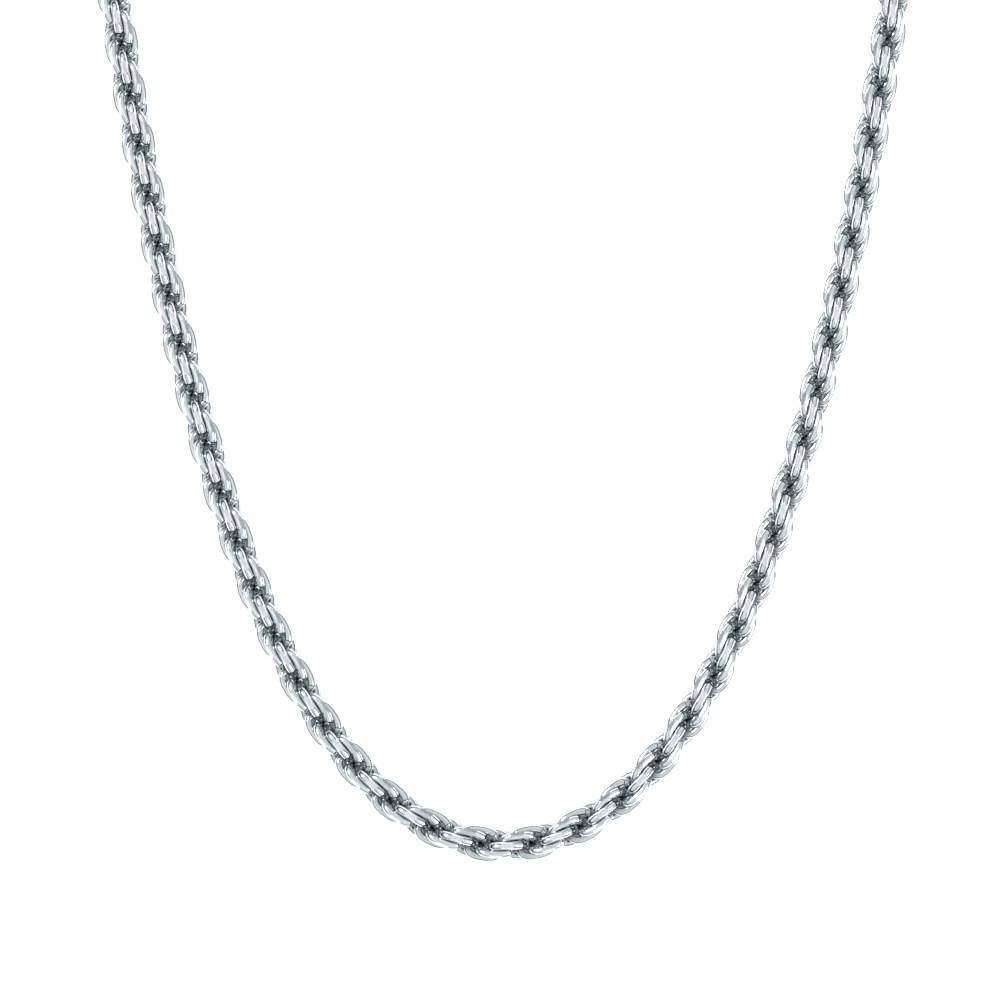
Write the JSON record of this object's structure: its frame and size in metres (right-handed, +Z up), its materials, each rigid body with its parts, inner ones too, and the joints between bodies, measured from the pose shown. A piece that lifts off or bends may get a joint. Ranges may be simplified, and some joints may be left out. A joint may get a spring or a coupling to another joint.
{
  "type": "chain necklace",
  "caption": "Polished silver rope-chain necklace laid out open in a U, its rope in short hinged sections, with end caps, a jump ring, a catch ring and a lobster clasp.",
  "frame": {"origin": "on the surface under the chain's front centre, in the middle of the flat cut on the underside of the front section", "axes": "+Z up off the surface, +Y from the front centre towards the clasp, +X towards the wearer's left, where the clasp's arm is"},
  "size_m": [0.1599, 0.2397, 0.006],
  "materials": {
    "rope": "polished, with flat bright cuts along the crests",
    "fittings": "polished"
  },
  "bodies": {
    "rope_front": {"rope_front": "rope"},
    "rope_left_01": {"rope_left_01": "rope"},
    "rope_left_02": {"rope_left_02": "rope"},
    "rope_left_03": {"rope_left_03": "rope"},
    "rope_left_04": {"rope_left_04": "rope"},
    "rope_left_05": {"rope_left_05": "rope"},
    "rope_left_06": {"rope_left_06": "rope"},
    "rope_left_07": {"rope_left_07": "rope"},
    "rope_left_08": {"rope_left_08": "rope"},
    "rope_left_09": {"rope_left_09": "rope"},
    "rope_left_10": {"rope_left_10": "rope"},
    "rope_left_11": {"rope_left_11": "rope"},
    "rope_left_12": {"rope_left_12": "rope"},
    "rope_left_13": {"rope_left_13": "rope"},
    "rope_left_14": {"rope_left_14": "rope"},
    "rope_left_15": {"rope_left_15": "rope"},
    "rope_left_16": {"rope_left_16": "rope"},
    "rope_left_17": {"rope_left_17": "rope"},
    "rope_left_18": {"rope_left_18": "rope"},
    "rope_left_19": {"rope_left_19": "rope"},
    "rope_left_20": {"rope_left_20": "rope"},
    "rope_left_21": {"rope_left_21": "rope"},
    "rope_left_22": {"rope_left_22": "rope"},
    "rope_left_23": {"rope_left_23": "rope"},
    "rope_left_24": {"rope_left_24": "rope", "cap_left": "fittings"},
    "rope_right_01": {"rope_right_01": "rope"},
    "rope_right_02": {"rope_right_02": "rope"},
    "rope_right_03": {"rope_right_03": "rope"},
    "rope_right_04": {"rope_right_04": "rope"},
    "rope_right_05": {"rope_right_05": "rope"},
    "rope_right_06": {"rope_right_06": "rope"},
    "rope_right_07": {"rope_right_07": "rope"},
    "rope_right_08": {"rope_right_08": "rope"},
    "rope_right_09": {"rope_right_09": "rope"},
    "rope_right_10": {"rope_right_10": "rope"},
    "rope_right_11": {"rope_right_11": "rope"},
    "rope_right_12": {"rope_right_12": "rope"},
    "rope_right_13": {"rope_right_13": "rope"},
    "rope_right_14": {"rope_right_14": "rope"},
    "rope_right_15": {"rope_right_15": "rope"},
    "rope_right_16": {"rope_right_16": "rope"},
    "rope_right_17": {"rope_right_17": "rope"},
    "rope_right_18": {"rope_right_18": "rope"},
    "rope_right_19": {"rope_right_19": "rope"},
    "rope_right_20": {"rope_right_20": "rope"},
    "rope_right_21": {"rope_right_21": "rope"},
    "rope_right_22": {"rope_right_22": "rope"},
    "rope_right_23": {"rope_right_23": "rope"},
    "rope_right_24": {"rope_right_24": "rope", "cap_right": "fittings"},
    "jump_ring": {"jump_ring": "fittings"},
    "catch_ring": {"catch_ring": "fittings"},
    "clasp_body": {"clasp_body": "fittings", "clasp_pin": "fittings"},
    "clasp_lever": {"clasp_lever": "fittings"}
  },
  "joints": [
    {"name": "rope_left_01_lift", "type": "hinge", "parent": "rope_front", "child": "rope_left_01", "pos_m": [0.00483, 0.00045, 0.003], "axis": [-0.1838, 0.983, 0], "range_deg": [-20, 20]},
    {"name": "rope_left_02_sideways", "type": "hinge", "parent": "rope_left_01", "child": "rope_left_02", "pos_m": [0.01391, 0.00381, 0.003], "axis": [0, 0, -1], "range_deg": [-20, 20]},
    {"name": "rope_left_03_lift", "type": "hinge", "parent": "rope_left_02", "child": "rope_left_03", "pos_m": [0.0217, 0.00959, 0.003], "axis": [0.6829, -0.7305, 0], "range_deg": [-20, 20]},
    {"name": "rope_left_04_sideways", "type": "hinge", "parent": "rope_left_03", "child": "rope_left_04", "pos_m": [0.02818, 0.01682, 0.003], "axis": [0, 0, 1], "range_deg": [-20, 20]},
    {"name": "rope_left_05_lift", "type": "hinge", "parent": "rope_left_04", "child": "rope_left_05", "pos_m": [0.03359, 0.02489, 0.003], "axis": [-0.8597, 0.5109, 0], "range_deg": [-20, 20]},
    {"name": "rope_left_06_sideways", "type": "hinge", "parent": "rope_left_05", "child": "rope_left_06", "pos_m": [0.03819, 0.03346, 0.003], "axis": [0, 0, -1], "range_deg": [-20, 20]},
    {"name": "rope_left_07_lift", "type": "hinge", "parent": "rope_left_06", "child": "rope_left_07", "pos_m": [0.04215, 0.04233, 0.003], "axis": [0.9248, -0.3805, 0], "range_deg": [-20, 20]},
    {"name": "rope_left_08_sideways", "type": "hinge", "parent": "rope_left_07", "child": "rope_left_08", "pos_m": [0.04562, 0.05141, 0.003], "axis": [0, 0, 1], "range_deg": [-20, 20]},
    {"name": "rope_left_09_lift", "type": "hinge", "parent": "rope_left_08", "child": "rope_left_09", "pos_m": [0.04871, 0.06063, 0.003], "axis": [-0.9539, 0.3001, 0], "range_deg": [-20, 20]},
    {"name": "rope_left_10_sideways", "type": "hinge", "parent": "rope_left_09", "child": "rope_left_10", "pos_m": [0.05148, 0.06995, 0.003], "axis": [0, 0, -1], "range_deg": [-20, 20]},
    {"name": "rope_left_11_lift", "type": "hinge", "parent": "rope_left_10", "child": "rope_left_11", "pos_m": [0.05399, 0.07934, 0.003], "axis": [0.9691, -0.2468, 0], "range_deg": [-20, 20]},
    {"name": "rope_left_12_sideways", "type": "hinge", "parent": "rope_left_11", "child": "rope_left_12", "pos_m": [0.05629, 0.08879, 0.003], "axis": [0, 0, 1], "range_deg": [-20, 20]},
    {"name": "rope_left_13_lift", "type": "hinge", "parent": "rope_left_12", "child": "rope_left_13", "pos_m": [0.05841, 0.09828, 0.003], "axis": [-0.9779, 0.2092, 0], "range_deg": [-20, 20]},
    {"name": "rope_left_14_sideways", "type": "hinge", "parent": "rope_left_13", "child": "rope_left_14", "pos_m": [0.06037, 0.1078, 0.003], "axis": [0, 0, -1], "range_deg": [-20, 20]},
    {"name": "rope_left_15_lift", "type": "hinge", "parent": "rope_left_14", "child": "rope_left_15", "pos_m": [0.06219, 0.11735, 0.003], "axis": [0.9834, -0.1814, 0], "range_deg": [-20, 20]},
    {"name": "rope_left_16_sideways", "type": "hinge", "parent": "rope_left_15", "child": "rope_left_16", "pos_m": [0.0639, 0.12692, 0.003], "axis": [0, 0, 1], "range_deg": [-20, 20]},
    {"name": "rope_left_17_lift", "type": "hinge", "parent": "rope_left_16", "child": "rope_left_17", "pos_m": [0.0655, 0.13651, 0.003], "axis": [-0.9871, 0.16, 0], "range_deg": [-20, 20]},
    {"name": "rope_left_18_sideways", "type": "hinge", "parent": "rope_left_17", "child": "rope_left_18", "pos_m": [0.06701, 0.14611, 0.003], "axis": [0, 0, -1], "range_deg": [-20, 20]},
    {"name": "rope_left_19_lift", "type": "hinge", "parent": "rope_left_18", "child": "rope_left_19", "pos_m": [0.06844, 0.15573, 0.003], "axis": [0.9897, -0.1431, 0], "range_deg": [-20, 20]},
    {"name": "rope_left_20_sideways", "type": "hinge", "parent": "rope_left_19", "child": "rope_left_20", "pos_m": [0.0698, 0.16536, 0.003], "axis": [0, 0, 1], "range_deg": [-20, 20]},
    {"name": "rope_left_21_lift", "type": "hinge", "parent": "rope_left_20", "child": "rope_left_21", "pos_m": [0.07109, 0.17499, 0.003], "axis": [-0.9916, 0.1294, 0], "range_deg": [-20, 20]},
    {"name": "rope_left_22_sideways", "type": "hinge", "parent": "rope_left_21", "child": "rope_left_22", "pos_m": [0.07232, 0.18464, 0.003], "axis": [0, 0, -1], "range_deg": [-20, 20]},
    {"name": "rope_left_23_lift", "type": "hinge", "parent": "rope_left_22", "child": "rope_left_23", "pos_m": [0.07349, 0.19429, 0.003], "axis": [0.993, -0.118, 0], "range_deg": [-20, 20]},
    {"name": "rope_left_24_sideways", "type": "hinge", "parent": "rope_left_23", "child": "rope_left_24", "pos_m": [0.07461, 0.20395, 0.003], "axis": [0, 0, 1], "range_deg": [-20, 20]},
    {"name": "rope_right_01_lift", "type": "hinge", "parent": "rope_front", "child": "rope_right_01", "pos_m": [-0.00483, 0.00045, 0.003], "axis": [-0.1838, -0.983, 0], "range_deg": [-20, 20]},
    {"name": "rope_right_02_sideways", "type": "hinge", "parent": "rope_right_01", "child": "rope_right_02", "pos_m": [-0.01391, 0.00381, 0.003], "axis": [0, 0, -1], "range_deg": [-20, 20]},
    {"name": "rope_right_03_lift", "type": "hinge", "parent": "rope_right_02", "child": "rope_right_03", "pos_m": [-0.0217, 0.00959, 0.003], "axis": [0.6829, 0.7305, 0], "range_deg": [-20, 20]},
    {"name": "rope_right_04_sideways", "type": "hinge", "parent": "rope_right_03", "child": "rope_right_04", "pos_m": [-0.02818, 0.01682, 0.003], "axis": [0, 0, 1], "range_deg": [-20, 20]},
    {"name": "rope_right_05_lift", "type": "hinge", "parent": "rope_right_04", "child": "rope_right_05", "pos_m": [-0.03359, 0.02489, 0.003], "axis": [-0.8597, -0.5109, 0], "range_deg": [-20, 20]},
    {"name": "rope_right_06_sideways", "type": "hinge", "parent": "rope_right_05", "child": "rope_right_06", "pos_m": [-0.03819, 0.03346, 0.003], "axis": [0, 0, -1], "range_deg": [-20, 20]},
    {"name": "rope_right_07_lift", "type": "hinge", "parent": "rope_right_06", "child": "rope_right_07", "pos_m": [-0.04215, 0.04233, 0.003], "axis": [0.9248, 0.3805, 0], "range_deg": [-20, 20]},
    {"name": "rope_right_08_sideways", "type": "hinge", "parent": "rope_right_07", "child": "rope_right_08", "pos_m": [-0.04562, 0.05141, 0.003], "axis": [0, 0, 1], "range_deg": [-20, 20]},
    {"name": "rope_right_09_lift", "type": "hinge", "parent": "rope_right_08", "child": "rope_right_09", "pos_m": [-0.04871, 0.06063, 0.003], "axis": [-0.9539, -0.3001, 0], "range_deg": [-20, 20]},
    {"name": "rope_right_10_sideways", "type": "hinge", "parent": "rope_right_09", "child": "rope_right_10", "pos_m": [-0.05148, 0.06995, 0.003], "axis": [0, 0, -1], "range_deg": [-20, 20]},
    {"name": "rope_right_11_lift", "type": "hinge", "parent": "rope_right_10", "child": "rope_right_11", "pos_m": [-0.05399, 0.07934, 0.003], "axis": [0.9691, 0.2468, 0], "range_deg": [-20, 20]},
    {"name": "rope_right_12_sideways", "type": "hinge", "parent": "rope_right_11", "child": "rope_right_12", "pos_m": [-0.05629, 0.08879, 0.003], "axis": [0, 0, 1], "range_deg": [-20, 20]},
    {"name": "rope_right_13_lift", "type": "hinge", "parent": "rope_right_12", "child": "rope_right_13", "pos_m": [-0.05841, 0.09828, 0.003], "axis": [-0.9779, -0.2092, 0], "range_deg": [-20, 20]},
    {"name": "rope_right_14_sideways", "type": "hinge", "parent": "rope_right_13", "child": "rope_right_14", "pos_m": [-0.06037, 0.1078, 0.003], "axis": [0, 0, -1], "range_deg": [-20, 20]},
    {"name": "rope_right_15_lift", "type": "hinge", "parent": "rope_right_14", "child": "rope_right_15", "pos_m": [-0.06219, 0.11735, 0.003], "axis": [0.9834, 0.1814, 0], "range_deg": [-20, 20]},
    {"name": "rope_right_16_sideways", "type": "hinge", "parent": "rope_right_15", "child": "rope_right_16", "pos_m": [-0.0639, 0.12692, 0.003], "axis": [0, 0, 1], "range_deg": [-20, 20]},
    {"name": "rope_right_17_lift", "type": "hinge", "parent": "rope_right_16", "child": "rope_right_17", "pos_m": [-0.0655, 0.13651, 0.003], "axis": [-0.9871, -0.16, 0], "range_deg": [-20, 20]},
    {"name": "rope_right_18_sideways", "type": "hinge", "parent": "rope_right_17", "child": "rope_right_18", "pos_m": [-0.06701, 0.14611, 0.003], "axis": [0, 0, -1], "range_deg": [-20, 20]},
    {"name": "rope_right_19_lift", "type": "hinge", "parent": "rope_right_18", "child": "rope_right_19", "pos_m": [-0.06844, 0.15573, 0.003], "axis": [0.9897, 0.1431, 0], "range_deg": [-20, 20]},
    {"name": "rope_right_20_sideways", "type": "hinge", "parent": "rope_right_19", "child": "rope_right_20", "pos_m": [-0.0698, 0.16536, 0.003], "axis": [0, 0, 1], "range_deg": [-20, 20]},
    {"name": "rope_right_21_lift", "type": "hinge", "parent": "rope_right_20", "child": "rope_right_21", "pos_m": [-0.07109, 0.17499, 0.003], "axis": [-0.9916, -0.1294, 0], "range_deg": [-20, 20]},
    {"name": "rope_right_22_sideways", "type": "hinge", "parent": "rope_right_21", "child": "rope_right_22", "pos_m": [-0.07232, 0.18464, 0.003], "axis": [0, 0, -1], "range_deg": [-20, 20]},
    {"name": "rope_right_23_lift", "type": "hinge", "parent": "rope_right_22", "child": "rope_right_23", "pos_m": [-0.07349, 0.19429, 0.003], "axis": [0.993, 0.118, 0], "range_deg": [-20, 20]},
    {"name": "rope_right_24_sideways", "type": "hinge", "parent": "rope_right_23", "child": "rope_right_24", "pos_m": [-0.07461, 0.20395, 0.003], "axis": [0, 0, 1], "range_deg": [-20, 20]},
    {"name": "jump_ring_tilt", "type": "hinge", "parent": "rope_left_24", "child": "jump_ring", "pos_m": [0.07624, 0.21868, 0.003], "axis": [0.9941, -0.1085, 0], "range_deg": [-70, 70]},
    {"name": "catch_ring_tilt", "type": "hinge", "parent": "rope_right_24", "child": "catch_ring", "pos_m": [-0.07624, 0.21868, 0.003], "axis": [0.9941, 0.1085, 0], "range_deg": [-70, 70]},
    {"name": "clasp_swivel", "type": "hinge", "parent": "jump_ring", "child": "clasp_body", "pos_m": [0.0766, 0.22198, 0.0024], "axis": [0.0112, 0.1023, 0.9947], "range_deg": [-60, 60]},
    {"name": "clasp_lever_press", "type": "hinge", "parent": "clasp_body", "child": "clasp_lever", "pos_m": [0.0787, 0.22739, 0.00186], "axis": [0.0112, 0.1023, 0.9947], "range_deg": [0, 24], "stiffness_Nm_per_rad": 0.012, "springref_deg": -17.19}
  ]
}
